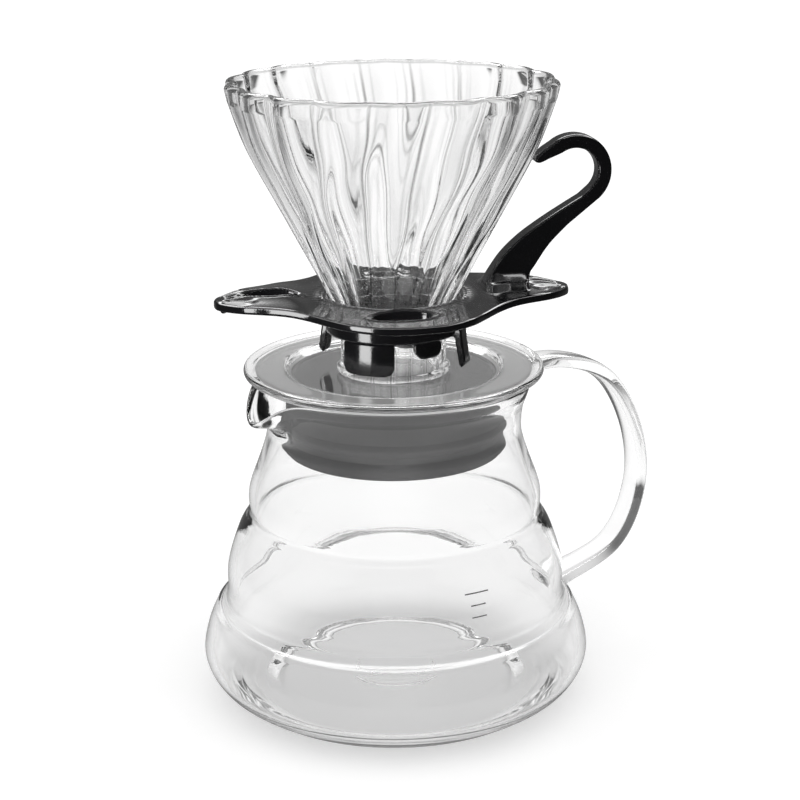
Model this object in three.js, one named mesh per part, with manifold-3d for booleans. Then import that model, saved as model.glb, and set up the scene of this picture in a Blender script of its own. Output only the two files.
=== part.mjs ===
// Pour over dripper standing on its lidded glass server.
//
// Millimetres, +Z up. The origin is the middle of the set's footprint, on the table. +X runs along the
// server's handle and the pouring lip is on the -X side. The dripper stands on the lid, turned a little.
// Every part is drawn about the common axis of server, lid and cone, and the set then moves to AXIS_X.

import * as THREE from 'three';
import { mergeVertices } from 'three/addons/utils/BufferGeometryUtils.js';
import Module from 'manifold-3d';

const wasm = await Module();
wasm.setup();

// Driving dimensions

const RIM_RADIUS = 50;
const DRIPPER_HEIGHT = 90;
const SERVER_RADIUS = 61.6;
const MOUTH_Z = 105;
const LID_RADIUS = 46.7;
const STANDING_GAP = 0.05;
const FIT_GAP = 0.3;
const DRIPPER_TURN = THREE.MathUtils.degToRad(-18.6);
const AXIS_X = -16.8;

// Glass thicknesses

const CONE_WALL = 2.2;
const SERVER_WALL = 2.2;
const LID_THICKNESS = 2;

// Heights that the parts stack to

const GASKET_FLANGE = 1.2;
const LID_UNDERSIDE_Z = MOUTH_Z + STANDING_GAP + GASKET_FLANGE + STANDING_GAP;
const LID_FLOOR_Z = LID_UNDERSIDE_Z + 0.3;
const FOOT_Z = LID_FLOOR_Z + STANDING_GAP;
const RIM_Z = FOOT_Z + DRIPPER_HEIGHT;
const SEAT_Z = RIM_Z - 65.5;
const PLATE_TOP_Z = RIM_Z - 66.15;
const PLATE_THICKNESS = 2.4;
const PLATE_BOTTOM_Z = PLATE_TOP_Z - PLATE_THICKNESS;

// Flutes of the cone: petals that bulge outwards between sharp ridges, and turn as they go down

const FLUTES = 18;
const STEPS_PER_FLUTE = 4;
const FLUTE_DEPTH = 1.4;
const NECK_FLUTE_DEPTH = 0.25;
const FLUTE_PHASE = THREE.MathUtils.degToRad(23.6);
const SWIRL_PER_MM = THREE.MathUtils.degToRad(0.18);

const SEGMENTS = 44;

const GLASS = { color: 0xf4f7f7, roughness: 0.03, metalness: 0, transparent: true, opacity: 0.3 };
const BLACK_PLASTIC = { color: 0x0b0b0c, roughness: 0.3, metalness: 0 };
const GREY_SILICONE = { color: 0x6f6f70, roughness: 0.6, metalness: 0 };

// Shape helpers

function points(...pairs) {
  return pairs.map(([x, y]) => new THREE.Vector2(x, y));
}

function smooth(pairs, divisions) {
  return new THREE.SplineCurve(points(...pairs)).getPoints(divisions);
}

// Turns a closed (radius, height) outline about the Z axis.
function revolve(outline, segments = SEGMENTS) {
  const ring = [...outline, outline[0].clone()];
  return new THREE.LatheGeometry(ring, segments).rotateX(Math.PI / 2);
}

function toSolid(geometry) {
  const bare = geometry.clone();
  bare.deleteAttribute('normal');
  bare.deleteAttribute('uv');
  const merged = mergeVertices(bare, 1e-4);
  return new wasm.Manifold(new wasm.Mesh({
    numProp: 3,
    vertProperties: new Float32Array(merged.attributes.position.array),
    triVerts: new Uint32Array(merged.index.array),
  }));
}

function toGeometry(solid) {
  const mesh = solid.getMesh();
  const geometry = new THREE.BufferGeometry();
  geometry.setAttribute('position', new THREE.BufferAttribute(mesh.vertProperties, 3));
  geometry.setIndex(new THREE.BufferAttribute(mesh.triVerts, 1));
  geometry.computeVertexNormals();
  return geometry;
}

function join(...geometries) {
  return toGeometry(geometries.map(toSolid).reduce((sum, solid) => sum.add(solid)));
}

function cut(geometry, ...tools) {
  return toGeometry(tools.map(toSolid).reduce((rest, tool) => rest.subtract(tool), toSolid(geometry)));
}

// Extrudes a flat shape upwards from bottom to top.
function prism(shape, bottom, top, curveSegments = 8) {
  const geometry = new THREE.ExtrudeGeometry(shape, { depth: top - bottom, bevelEnabled: false, curveSegments });
  return geometry.translate(0, 0, bottom);
}

function part(name, geometry, finish) {
  const mesh = new THREE.Mesh(geometry, new THREE.MeshStandardMaterial(finish));
  mesh.name = name;
  return mesh;
}

function smoothstep(value, low, high) {
  return THREE.MathUtils.smoothstep(value, low, high);
}

// Glass cone: fluted funnel, neck and foot bead, with one wall thickness all the way

const NECK_RADIUS = 16.4;
const BEAD_RADIUS = 17.7;

function coneOutline() {
  const shoulder = RIM_Z - 5;
  const foot = points(
    [NECK_RADIUS - CONE_WALL + 0.4, FOOT_Z],
    [BEAD_RADIUS - 0.9, FOOT_Z],
    [BEAD_RADIUS, FOOT_Z + 1.1],
    [BEAD_RADIUS - 0.2, FOOT_Z + 2.2],
    [NECK_RADIUS, FOOT_Z + 3.4],
  );
  const outer = smooth([
    [NECK_RADIUS, FOOT_Z + 12],
    [NECK_RADIUS + 1.9, SEAT_Z - 3.7],
    [20.2, SEAT_Z],
    [33.5, RIM_Z - 40],
    [43.9, RIM_Z - 20],
    [RIM_RADIUS - 0.6, shoulder],
  ], 9);
  const rim = points(
    [RIM_RADIUS + 0.2, RIM_Z - 1.4],
    [RIM_RADIUS - 0.3, RIM_Z - 0.3],
    [RIM_RADIUS - 1.3, RIM_Z],
    [RIM_RADIUS - 2.3, RIM_Z - 0.5],
  );
  const across = CONE_WALL + 0.25;
  const inner = smooth([
    [RIM_RADIUS - 0.6 - CONE_WALL, shoulder],
    [43.9 - across, RIM_Z - 20],
    [33.5 - across, RIM_Z - 40],
    [20.2 - across, SEAT_Z],
    [NECK_RADIUS - CONE_WALL + 0.6, SEAT_Z - 6],
    [NECK_RADIUS - CONE_WALL, FOOT_Z + 12],
  ], 7);
  return [...foot, ...outer, ...rim, ...inner];
}

// Pulls the wall in at the ridges and turns the flutes with height.
function flute(geometry) {
  const position = geometry.attributes.position;
  const vertex = new THREE.Vector3();
  for (let i = 0; i < position.count; i += 1) {
    vertex.fromBufferAttribute(position, i);
    const radius = Math.hypot(vertex.x, vertex.y);
    const angle = Math.atan2(vertex.y, vertex.x);
    const start = smoothstep(vertex.z, SEAT_Z - 6, SEAT_Z + 14);
    const neck = NECK_FLUTE_DEPTH * smoothstep(vertex.z, FOOT_Z + 3, FOOT_Z + 8);
    const depth = neck + (FLUTE_DEPTH - NECK_FLUTE_DEPTH) * start;
    const dip = depth * (1 - Math.abs(Math.cos(angle * FLUTES / 2)));
    const turned = angle + FLUTE_PHASE - SWIRL_PER_MM * (RIM_Z - vertex.z);
    position.setXY(i, (radius - dip) * Math.cos(turned), (radius - dip) * Math.sin(turned));
  }
  geometry.computeVertexNormals();
  return geometry;
}

function makeCone() {
  return flute(revolve(coneOutline(), FLUTES * STEPS_PER_FLUTE));
}

// Holder: winged plate, seat hub with a collar, two legs, end nubs and the hook handle, in one moulding

const WING_REACH = 55.2;
const WING_RISE = 1.3;
const TIP_DIP = 0.6;
const LOBE_RADIUS = 40.5;
const LOBE_SLOT_SHIFT = 1.8;
const COLLAR_RADIUS = 20.9;
const COLLAR_WALL = 1.3;
const COLLAR_BOTTOM_Z = PLATE_TOP_Z - 10.65;
const RING_INNER_RADIUS = BEAD_RADIUS + 0.4;
const RING_TOP_Z = PLATE_TOP_Z - 4.35;
const TAB_BOTTOM_Z = PLATE_TOP_Z - 20.55;
const HANDLE_THICKNESS = 7;
const HOOK_X = 56.3;
const HOOK_Z = PLATE_TOP_Z + 36.6;
const HOOK_RADIUS = 11.5;
const HOOK_DEPTH = 4.3;

// One quarter of the plate's edge, from the wing tip to the middle of the front lobe.
function plateQuarter() {
  return smooth([
    [WING_REACH, 0],
    [WING_REACH - 1.2, 4.4],
    [47, 11.6],
    [38, 15.9],
    [29.5, 21.6],
    [23.5, 27.6],
    [18, 33.6],
    [10, LOBE_RADIUS - 1.6],
    [0, LOBE_RADIUS],
  ], 16);
}

function lobeSlot(side) {
  return new THREE.Path().absellipse(-side * LOBE_SLOT_SHIFT, -side * 27.4, 8.8, 4.6, 0, 2 * Math.PI);
}

function plateShape() {
  const quarter = plateQuarter();
  const top = [...quarter, ...[...quarter].reverse().slice(1).map((p) => new THREE.Vector2(-p.x, p.y))];
  const bottom = [...top].reverse().slice(1, -1).map((p) => new THREE.Vector2(p.x, -p.y));
  const shape = new THREE.Shape([...top, ...bottom]);
  shape.holes.push(new THREE.Path().absarc(0, 0, COLLAR_RADIUS + 1, 0, 2 * Math.PI));
  shape.holes.push(lobeSlot(1));
  shape.holes.push(lobeSlot(-1));
  shape.holes.push(new THREE.Path().absellipse(-37.8, 0, 8.4, 4, 0, 2 * Math.PI));
  return shape;
}

// The wings rise from the hub and dip again at their tips.
function wingLift(x) {
  return WING_RISE * smoothstep(Math.abs(x), 20, 36) - TIP_DIP * smoothstep(Math.abs(x), 44, WING_REACH);
}

function makePlate() {
  const plate = prism(plateShape(), PLATE_BOTTOM_Z, PLATE_TOP_Z);
  const position = plate.attributes.position;
  for (let i = 0; i < position.count; i += 1) {
    position.setZ(i, position.getZ(i) + wingLift(position.getX(i)));
  }
  return plate;
}

function hubOutline() {
  return points(
    [COLLAR_RADIUS - COLLAR_WALL, COLLAR_BOTTOM_Z],
    [COLLAR_RADIUS, COLLAR_BOTTOM_Z],
    [COLLAR_RADIUS, PLATE_BOTTOM_Z + 0.6],
    [COLLAR_RADIUS + 1.6, PLATE_BOTTOM_Z + 0.6],
    [COLLAR_RADIUS + 1.6, PLATE_TOP_Z],
    [22.3, SEAT_Z - 0.35],
    [20.2 + FIT_GAP, SEAT_Z - 0.35],
    [18.6, SEAT_Z - 3.8],
    [RING_INNER_RADIUS, SEAT_Z - 5],
    [RING_INNER_RADIUS, RING_TOP_Z + FIT_GAP],
    [COLLAR_RADIUS - COLLAR_WALL, RING_TOP_Z + FIT_GAP],
  );
}

// A leg hangs from the collar and leans outwards to a blunt point.
function legShape() {
  const top = PLATE_BOTTOM_Z + 1;
  return new THREE.Shape(points(
    [COLLAR_RADIUS - 0.5, top],
    [COLLAR_RADIUS - 0.5, COLLAR_BOTTOM_Z + 1.2],
    [COLLAR_RADIUS + 0.3, COLLAR_BOTTOM_Z - 0.4],
    [COLLAR_RADIUS + 1.5, TAB_BOTTOM_Z + 1.3],
    [COLLAR_RADIUS + 2.3, TAB_BOTTOM_Z],
    [COLLAR_RADIUS + 3, TAB_BOTTOM_Z + 1.3],
    [COLLAR_RADIUS + 1.5, COLLAR_BOTTOM_Z],
    [COLLAR_RADIUS + 1.2, top],
  ));
}

// Stands a shape drawn in (reach, height) upright, centred on the plane through the axis at an angle.
function upright(shape, thickness, angle = 0, curveSegments = 12) {
  const geometry = new THREE.ExtrudeGeometry(shape, { depth: thickness, bevelEnabled: false, curveSegments });
  return geometry.rotateX(Math.PI / 2).translate(0, thickness / 2, 0).rotateZ(angle);
}

// Side view of the handle: a broad root on the plate, a slanting arm and a hook that comes back over it.
function hookShape() {
  const inner = HOOK_RADIUS - HOOK_DEPTH;
  const root = PLATE_TOP_Z - 0.4;
  const shape = new THREE.Shape();
  shape.moveTo(27.5, root);
  shape.lineTo(40.5, root);
  shape.lineTo(40.5, PLATE_TOP_Z + 1);
  shape.splineThru(points([43, PLATE_TOP_Z + 6], [48.2, PLATE_TOP_Z + 14], [54.2, PLATE_TOP_Z + 20]));
  shape.absarc(HOOK_X, HOOK_Z, HOOK_RADIUS, -0.83, 2.25);
  shape.lineTo(44.6, HOOK_Z + 5.9);
  shape.quadraticCurveTo(42.7, HOOK_Z + 3.6, 45, HOOK_Z + 3.1);
  shape.absarc(HOOK_X, HOOK_Z, inner, 2.25, -0.9, true);
  shape.splineThru(points([53.4, PLATE_TOP_Z + 26.3], [46.2, PLATE_TOP_Z + 21.8], [39.1, PLATE_TOP_Z + 16.8],
    [33.2, PLATE_TOP_Z + 11], [28.6, PLATE_TOP_Z + 4], [27.5, PLATE_TOP_Z + 1]));
  return shape;
}

// The root spreads sideways into the wing as a low four-sided foot.
function handleFoot() {
  const foot = new THREE.CylinderGeometry(1, 1, 1, 4, 1).rotateX(Math.PI / 2).rotateZ(Math.PI / 4);
  const position = foot.attributes.position;
  for (let i = 0; i < position.count; i += 1) {
    const high = position.getZ(i) > 0;
    const halfLength = high ? 5.8 : 7.5;
    const halfWidth = high ? HANDLE_THICKNESS / 2 : 12.5;
    position.setXYZ(
      i,
      34.8 + Math.SQRT2 * halfLength * position.getX(i),
      Math.SQRT2 * halfWidth * position.getY(i),
      high ? PLATE_TOP_Z + 7 : PLATE_TOP_Z - 1,
    );
  }
  return foot;
}

function nub(side) {
  const length = 2.8;
  const x = side * (WING_REACH - 3);
  const top = PLATE_BOTTOM_Z + wingLift(x) + 1;
  return new THREE.CylinderGeometry(1.3, 0.9, length, 12).rotateX(Math.PI / 2).translate(x, 0, top - length / 2);
}

function makeHolder() {
  const legAngle = THREE.MathUtils.degToRad(-33.4);
  return join(
    makePlate(),
    revolve(hubOutline()),
    upright(hookShape(), HANDLE_THICKNESS, 0, 8),
    handleFoot(),
    upright(legShape(), 3.8, legAngle),
    upright(legShape(), 3.8, legAngle + Math.PI),
    nub(1),
    nub(-1),
  );
}

// Lock ring: a band that turns inside the collar, with a wide and a short tab below it on each side

function sector(inner, outer, centreDegrees, spanDegrees, bottom, top) {
  const start = THREE.MathUtils.degToRad(centreDegrees - spanDegrees / 2);
  const end = THREE.MathUtils.degToRad(centreDegrees + spanDegrees / 2);
  const shape = new THREE.Shape();
  shape.absarc(0, 0, outer, start, end);
  shape.absarc(0, 0, inner, end, start, true);
  return prism(shape, bottom, top, 6);
}

function tab(centreDegrees, spanDegrees, bottom) {
  const bandRadius = COLLAR_RADIUS - COLLAR_WALL - FIT_GAP;
  return [
    sector(RING_INNER_RADIUS, COLLAR_RADIUS - 0.2, centreDegrees, spanDegrees, bottom, COLLAR_BOTTOM_Z - FIT_GAP),
    sector(RING_INNER_RADIUS, bandRadius, centreDegrees, spanDegrees, bottom, COLLAR_BOTTOM_Z + 1),
  ];
}

function makeLockRing() {
  const bandRadius = COLLAR_RADIUS - COLLAR_WALL - FIT_GAP;
  const bandBottom = COLLAR_BOTTOM_Z - 0.2;
  const band = revolve(points(
    [RING_INNER_RADIUS, bandBottom],
    [bandRadius, bandBottom],
    [bandRadius, RING_TOP_Z],
    [RING_INNER_RADIUS, RING_TOP_Z],
  ));
  const tabs = [0, 180].flatMap((turn) => [
    ...tab(-122.9 + turn, 49, TAB_BOTTOM_Z),
    ...tab(-67.4 + turn, 27, TAB_BOTTOM_Z + 5),
  ]);
  return join(band, ...tabs);
}

// Lid: clear disc with a rounded edge and a shallow recess that the dripper stands in

const RECESS_RADIUS = 31.6;
const STEP_RADIUS = 33.6;

function makeLidGlass() {
  const rimTop = LID_UNDERSIDE_Z + 2.7;
  return revolve(points(
    [0, LID_FLOOR_Z - LID_THICKNESS],
    [RECESS_RADIUS, LID_FLOOR_Z - LID_THICKNESS],
    [STEP_RADIUS - 0.3, LID_UNDERSIDE_Z - 1.2],
    [STEP_RADIUS, LID_UNDERSIDE_Z],
    [LID_RADIUS - 1.4, LID_UNDERSIDE_Z + 0.2],
    [LID_RADIUS - 0.3, LID_UNDERSIDE_Z + 0.8],
    [LID_RADIUS, LID_UNDERSIDE_Z + 1.6],
    [LID_RADIUS - 0.5, LID_UNDERSIDE_Z + 2.4],
    [LID_RADIUS - 1.5, rimTop],
    [LID_RADIUS - 3.5, LID_UNDERSIDE_Z + 2.2],
    [STEP_RADIUS + 1, LID_UNDERSIDE_Z + 1.6],
    [STEP_RADIUS - 0.4, LID_UNDERSIDE_Z + 1.1],
    [RECESS_RADIUS, LID_FLOOR_Z],
    [0, LID_FLOOR_Z],
  ));
}

// Gasket: silicone cup that hangs in the mouth, with a thin flange under the disc and two soft fins

const SKIRT_RADIUS = 33.8;
const FIN_RADIUS = 35.2;
const GASKET_BOTTOM_Z = MOUTH_Z - 24;

function fin(z) {
  return points([SKIRT_RADIUS, z - 2], [FIN_RADIUS, z - 0.5], [FIN_RADIUS, z + 0.5], [SKIRT_RADIUS, z + 2]);
}

function makeGasket() {
  const flangeBottom = MOUTH_Z + STANDING_GAP;
  const flangeTop = flangeBottom + GASKET_FLANGE;
  const cavityRadius = SKIRT_RADIUS - 2.2;
  return revolve([
    ...points([0, GASKET_BOTTOM_Z], [SKIRT_RADIUS - 2.6, GASKET_BOTTOM_Z], [SKIRT_RADIUS - 0.7, GASKET_BOTTOM_Z + 0.9]),
    ...fin(GASKET_BOTTOM_Z + 3.9),
    ...fin(GASKET_BOTTOM_Z + 9.8),
    ...points(
      [SKIRT_RADIUS, flangeBottom - 2],
      [SKIRT_RADIUS + 2, flangeBottom],
      [43.8, flangeBottom],
      [43.8, flangeTop],
      [STEP_RADIUS + 0.4, flangeTop],
      [STEP_RADIUS + 0.2, LID_FLOOR_Z - LID_THICKNESS - 0.4],
      [cavityRadius, LID_FLOOR_Z - LID_THICKNESS - 0.4],
      [cavityRadius, GASKET_BOTTOM_Z + 3.4],
      [cavityRadius - 1.6, GASKET_BOTTOM_Z + 1.8],
      [0, GASKET_BOTTOM_Z + 1.8],
    ),
  ]);
}

// Server: blown body in three tiers with a flared mouth. Heights are measured up from the resting ring.

const NECK_OUTER = 39.9;

function serverOuter() {
  const base = points([0, 2.2], [11.4, 2.2], [13, 2.9], [36, 2.4], [40.5, 0.8], [42.5, 0], [45.5, 0]);
  const lowTier = smooth([[50.5, 2], [58, 7.4], [SERVER_RADIUS, 14.5], [60.4, 22.5], [57.6, 29.3]], 7);
  const midTier = smooth([[54.3, 31.2], [53.6, 36], [53.2, 44.5], [49.8, 55.2], [46.8, 60.2]], 5);
  const topTier = smooth([[45.9, 62.2], [45.9, 69], [42.2, 79.5], [NECK_OUTER + 0.1, 87], [NECK_OUTER, 93]], 6);
  const mouth = points([41, 98.5], [42.6, MOUTH_Z - 2], [42.6, MOUTH_Z - 0.6], [42, MOUTH_Z]);
  return [...base, ...lowTier, ...midTier, ...topTier, ...mouth];
}

function serverInner() {
  const mouth = points([40.8, MOUTH_Z], [39.9, MOUTH_Z - 1.4], [38.8, 98.5]);
  const neck = smooth([
    [NECK_OUTER - SERVER_WALL, 93],
    [NECK_OUTER - SERVER_WALL, 87],
    [40.2, 79],
    [43.7, 68.6],
    [43.8, 62],
  ], 5);
  const midTier = smooth([[45.2, 59.6], [47.7, 54.6], [51, 44.2], [51.4, 36], [52, 31.6]], 4);
  const lowTier = smooth([[55.6, 28.6], [58.2, 22], [59.2, 14.5], [55.6, 9], [46, 5.4]], 5);
  return [...mouth, ...neck, ...midTier, ...lowTier, ...points([30, 5.8], [0, 5.8])];
}

// Draws the mouth outwards and down into a pouring lip on the -X side.
function pourLip(geometry) {
  const position = geometry.attributes.position;
  for (let i = 0; i < position.count; i += 1) {
    const x = position.getX(i);
    const y = position.getY(i);
    const z = position.getZ(i);
    const off = Math.atan2(y, -x) / THREE.MathUtils.degToRad(17);
    const amount = Math.exp(-off * off) * smoothstep(z, 88, MOUTH_Z) * smoothstep(Math.hypot(x, y), 30, 36);
    const grow = 1 + 6.6 * amount / Math.hypot(x, y);
    position.setXYZ(i, x * grow, y * grow, z - 8 * amount * amount);
  }
  geometry.computeVertexNormals();
  return geometry;
}

function makeServerBody() {
  return pourLip(revolve([...serverOuter(), ...serverInner()]));
}

// Server handle: a flat glass strap in the XZ plane, cut off just outside the wall that it is fused to

const STRAP_WIDTH = 10;
const STRAP_THICKNESS = 4.6;

function strapPath() {
  const stations = [[38, 100.6], [60, 101.6], [79, 93.4], [90.6, 73.5], [92.4, 52], [82.3, 33.2], [57, 24.4]];
  return new THREE.CatmullRomCurve3(stations.map(([x, z]) => new THREE.Vector3(x, 0, z)), false, 'centripetal');
}

function strapSection() {
  const halfWidth = STRAP_WIDTH / 2;
  const halfDepth = STRAP_THICKNESS / 2;
  const corner = 1.4;
  return new THREE.Shape(points(
    [-halfWidth + corner, -halfDepth],
    [halfWidth - corner, -halfDepth],
    [halfWidth, -halfDepth + corner],
    [halfWidth, halfDepth - corner],
    [halfWidth - corner, halfDepth],
    [-halfWidth + corner, halfDepth],
    [-halfWidth, halfDepth - corner],
    [-halfWidth, -halfDepth + corner],
  ));
}

function makeServerHandle() {
  const strap = new THREE.ExtrudeGeometry(strapSection(), { steps: 36, extrudePath: strapPath() });
  const clearance = serverOuter().map((p) => new THREE.Vector2(p.x > 20 ? p.x + FIT_GAP : p.x, p.y));
  const body = revolve([...clearance, new THREE.Vector2(0, MOUTH_Z)]);
  return cut(strap, body);
}

const lid = new THREE.Group();
lid.add(part('lid_glass', makeLidGlass(), GLASS));
lid.add(part('lid_gasket', makeGasket(), GREY_SILICONE));

const dripper = new THREE.Group();
dripper.rotation.z = DRIPPER_TURN;
dripper.add(part('glass_cone', makeCone(), GLASS));
dripper.add(part('holder', makeHolder(), BLACK_PLASTIC));
dripper.add(part('lock_ring', makeLockRing(), BLACK_PLASTIC));

const server = new THREE.Group();
server.add(part('server_body', makeServerBody(), GLASS));
server.add(part('server_handle', makeServerHandle(), GLASS));

const set = new THREE.Group();
set.position.x = AXIS_X;
set.add(server, lid, dripper);

export default set;
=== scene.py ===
"""Pour over dripper standing on its lidded glass server: the looks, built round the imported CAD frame.

Shapes are written in millimetres and turned into metres when a mesh is made.
The server's handle runs along +X. The dripper has a frame of its own, turned DRIPPER_TURN about Z.
"""
import math
import re

import bmesh
import bpy
import numpy as np
from mathutils import Euler, Matrix, Vector


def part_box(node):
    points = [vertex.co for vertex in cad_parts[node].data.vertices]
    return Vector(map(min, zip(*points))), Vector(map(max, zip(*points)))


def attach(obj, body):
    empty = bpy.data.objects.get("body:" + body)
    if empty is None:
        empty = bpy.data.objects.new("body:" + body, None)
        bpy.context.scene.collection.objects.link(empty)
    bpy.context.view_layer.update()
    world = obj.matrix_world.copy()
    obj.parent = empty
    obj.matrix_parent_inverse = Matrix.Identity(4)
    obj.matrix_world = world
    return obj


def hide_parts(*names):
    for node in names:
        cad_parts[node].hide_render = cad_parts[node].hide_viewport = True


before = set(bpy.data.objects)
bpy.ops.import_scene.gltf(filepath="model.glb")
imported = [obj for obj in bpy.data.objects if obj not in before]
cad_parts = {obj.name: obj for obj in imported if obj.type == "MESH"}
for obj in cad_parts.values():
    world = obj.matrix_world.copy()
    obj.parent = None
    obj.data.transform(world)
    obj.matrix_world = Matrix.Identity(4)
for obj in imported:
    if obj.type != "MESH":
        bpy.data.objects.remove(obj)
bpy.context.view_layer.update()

MM = 0.001
TAU = 2 * math.pi

# ---------------------------------------------------------------- sizes, from the frame where it has them


def height_of(node, end):
    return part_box(node)[end][2] / MM


def radius_of(node):
    low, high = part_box(node)
    return (high[0] - low[0]) / 2 / MM


FOOT_Z = height_of("glass_cone", 0)
RIM_Z = height_of("glass_cone", 1)
MOUTH_Z = height_of("server_body", 1)
LID_R = radius_of("lid_glass")
FLANGE_TOP = height_of("lid_gasket", 1)
FLANGE_R = radius_of("lid_gasket")
GASKET_BOTTOM = height_of("lid_gasket", 0)
TAB_BOTTOM = height_of("lock_ring", 0)
RING_TOP = height_of("lock_ring", 1)

AXIS_X = (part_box("lid_glass")[0][0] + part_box("lid_glass")[1][0]) / 2 / MM    # where the common axis stands

RIM_R = 50.0
CONE_WALL = 2.2
SEAT_Z = RIM_Z - 65.5
PLATE_TOP = RIM_Z - 66.15
PLATE_THICKNESS = 2.4
PLATE_BOTTOM = PLATE_TOP - PLATE_THICKNESS
NECK_R = 16.4
BEAD_R = 17.7                            # the foot that the cone stands on
DRIPPER_TURN = math.radians(-18.6)

FLUTES = 18
STEPS_PER_FLUTE = 22
FLUTE_DEPTH = 1.8
NECK_FLUTE_DEPTH = 0.25
FLUTE_PHASE = math.radians(23.6)
SWIRL_PER_MM = math.radians(0.18)

WING_REACH = 55.2
WING_RISE = 1.3
TIP_DIP = 0.6
LOBE_R = 40.5
COLLAR_R = 20.9
COLLAR_WALL = 1.3
COLLAR_BOTTOM = PLATE_TOP - 10.65
LEG_ANGLE = math.radians(-33.4)
RUNNING_GAP = 0.3
RING_INNER = BEAD_R + 0.4
BAND_R = COLLAR_R - COLLAR_WALL - RUNNING_GAP
TAB_DRAFT = math.tan(math.radians(3))

HOOK_X = 56.3
HOOK_Z = PLATE_TOP + 36.6
HOOK_R = 11.5
HOOK_DEPTH = 4.3
HANDLE_THICKNESS = 7.0

# The wings' half widths at a few distances out, and each slot's centre and two radii.
WING_EDGE = ([20, 29.5, 38, 47, 54, WING_REACH], [30, 21.6, 15.9, 11.6, 4.8, 1])
SLOTS = ((-1.8, -27.4, 8.8, 4.6), (1.8, 27.4, 8.8, 4.6), (-37.8, 0, 8.4, 4.0))

LID_UNDER = FLANGE_TOP + 0.05
LID_FLOOR = LID_UNDER + 0.3
RECESS_R = 31.6
STEP_R = 33.6
LID_THICKNESS = 2.0
SKIRT_R = 33.8
FIN_R = 34.8
CAVITY_R = SKIRT_R - 2.2

SERVER_WALL = 2.2
NECK_OUTER = 39.9
STRAP_PATH = [(38, 100.6), (60, 101.6), (79, 93.4), (90.6, 73.5), (92.4, 52), (82.3, 33.2), (57, 24.4)]
TICK_LENGTHS = {43.5: 5.0, 47.0: 5.0, 50.5: 8.0}    # by height
TICK_WIDTH = 0.34

SHARP_ANGLE = math.radians(28)           # edges that turn by more than this stay sharp
ROUND = 160                              # steps round a smooth circle

# ---------------------------------------------------------------- mesh helpers


def smoothstep(value, low, high):
    t = np.clip((value - low) / (high - low), 0, 1)
    return t * t * (3 - 2 * t)


def spline(points, count):
    """Points along a uniform Catmull-Rom curve through the given ones."""
    pts = np.array(points, float)
    out = []
    for t in np.linspace(0, len(pts) - 1, count):
        i = min(int(t), len(pts) - 2)
        w = t - i
        p0, p1 = pts[max(i - 1, 0)], pts[i]
        p2, p3 = pts[i + 1], pts[min(i + 2, len(pts) - 1)]
        v0, v1 = (p2 - p0) / 2, (p3 - p1) / 2
        out.append((2 * p1 - 2 * p2 + v0 + v1) * w**3 + (-3 * p1 + 3 * p2 - 2 * v0 - v1) * w**2 + v0 * w + p1)
    return [tuple(p) for p in out]


def arc(cx, cy, radius, start, end, count):
    """Points on a circle, between two angles in degrees."""
    angles = np.radians(np.linspace(start, end, count))
    return [(cx + radius * math.cos(a), cy + radius * math.sin(a)) for a in angles]


def make_object(name, verts, faces, smooth=True):
    mesh = bpy.data.meshes.new(name)
    mesh.from_pydata([tuple(c * MM for c in v) for v in verts], [], faces)
    mesh.validate()
    mesh.update()
    if smooth:
        mesh.shade_smooth()
    obj = bpy.data.objects.new(name, mesh)
    bpy.context.scene.collection.objects.link(obj)
    return obj


def revolve(name, outline, segments):
    """A closed body turned about Z from a (radius, height) outline that runs up its outer side."""
    verts, columns = [], []
    for radius, height in outline:
        if radius < 1e-6:
            columns.append([len(verts)] * segments)
            verts.append((0, 0, height))
            continue
        columns.append([len(verts) + k for k in range(segments)])
        for k in range(segments):
            angle = TAU * k / segments
            verts.append((radius * math.cos(angle), radius * math.sin(angle), height))
    faces = []
    for low, high in zip(columns, columns[1:] + columns[:1]):
        for k in range(segments):
            n = (k + 1) % segments
            corners = [low[k], low[n], high[n], high[k]]
            face = [c for i, c in enumerate(corners) if c != corners[i - 1]]
            if len(face) > 2:
                faces.append(face)
    obj = make_object(name, verts, faces)
    obj.data.set_sharp_from_angle(angle=SHARP_ANGLE)
    return obj


def coords(obj):
    """The object's vertices in millimetres."""
    flat = np.empty(len(obj.data.vertices) * 3)
    obj.data.vertices.foreach_get("co", flat)
    return flat.reshape(-1, 3) / MM


def set_coords(obj, points):
    obj.data.vertices.foreach_set("co", (points * MM).ravel())
    obj.data.update()


def shift(obj, x=0, z=0):
    """Moves the mesh, so that the object itself can stay at the origin."""
    set_coords(obj, coords(obj) + (x, 0, z))
    return obj


def turn(obj, angle):
    """Turns the mesh about Z."""
    p = coords(obj)
    c, s = math.cos(angle), math.sin(angle)
    p[:, 0], p[:, 1] = p[:, 0] * c - p[:, 1] * s, p[:, 0] * s + p[:, 1] * c
    set_coords(obj, p)
    return obj


def place(obj, body, slot, *nodes, turned=False):
    """Stands a finished piece on the common axis, and names its body and the nodes it replaces; its slot is
    not used.
    """
    if turned:
        turn(obj, DRIPPER_TURN)
    shift(obj, x=AXIS_X)
    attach(obj, body)
    if nodes:
        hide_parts(*nodes)
    return obj


def store(obj, name, values):
    """Keeps one number per vertex for the material to read."""
    attribute = obj.data.attributes.new(name, "FLOAT", "POINT")
    attribute.data.foreach_set("value", values)


def apply_modifiers(obj):
    depsgraph = bpy.context.evaluated_depsgraph_get()
    mesh = bpy.data.meshes.new_from_object(obj.evaluated_get(depsgraph))
    obj.modifiers.clear()
    obj.data = mesh


def boolean(obj, tool, operation):
    modifier = obj.modifiers.new("boolean", "BOOLEAN")
    modifier.object = tool
    modifier.operation = operation
    modifier.solver = "EXACT"
    apply_modifiers(obj)
    bpy.data.objects.remove(tool)
    return obj


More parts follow.
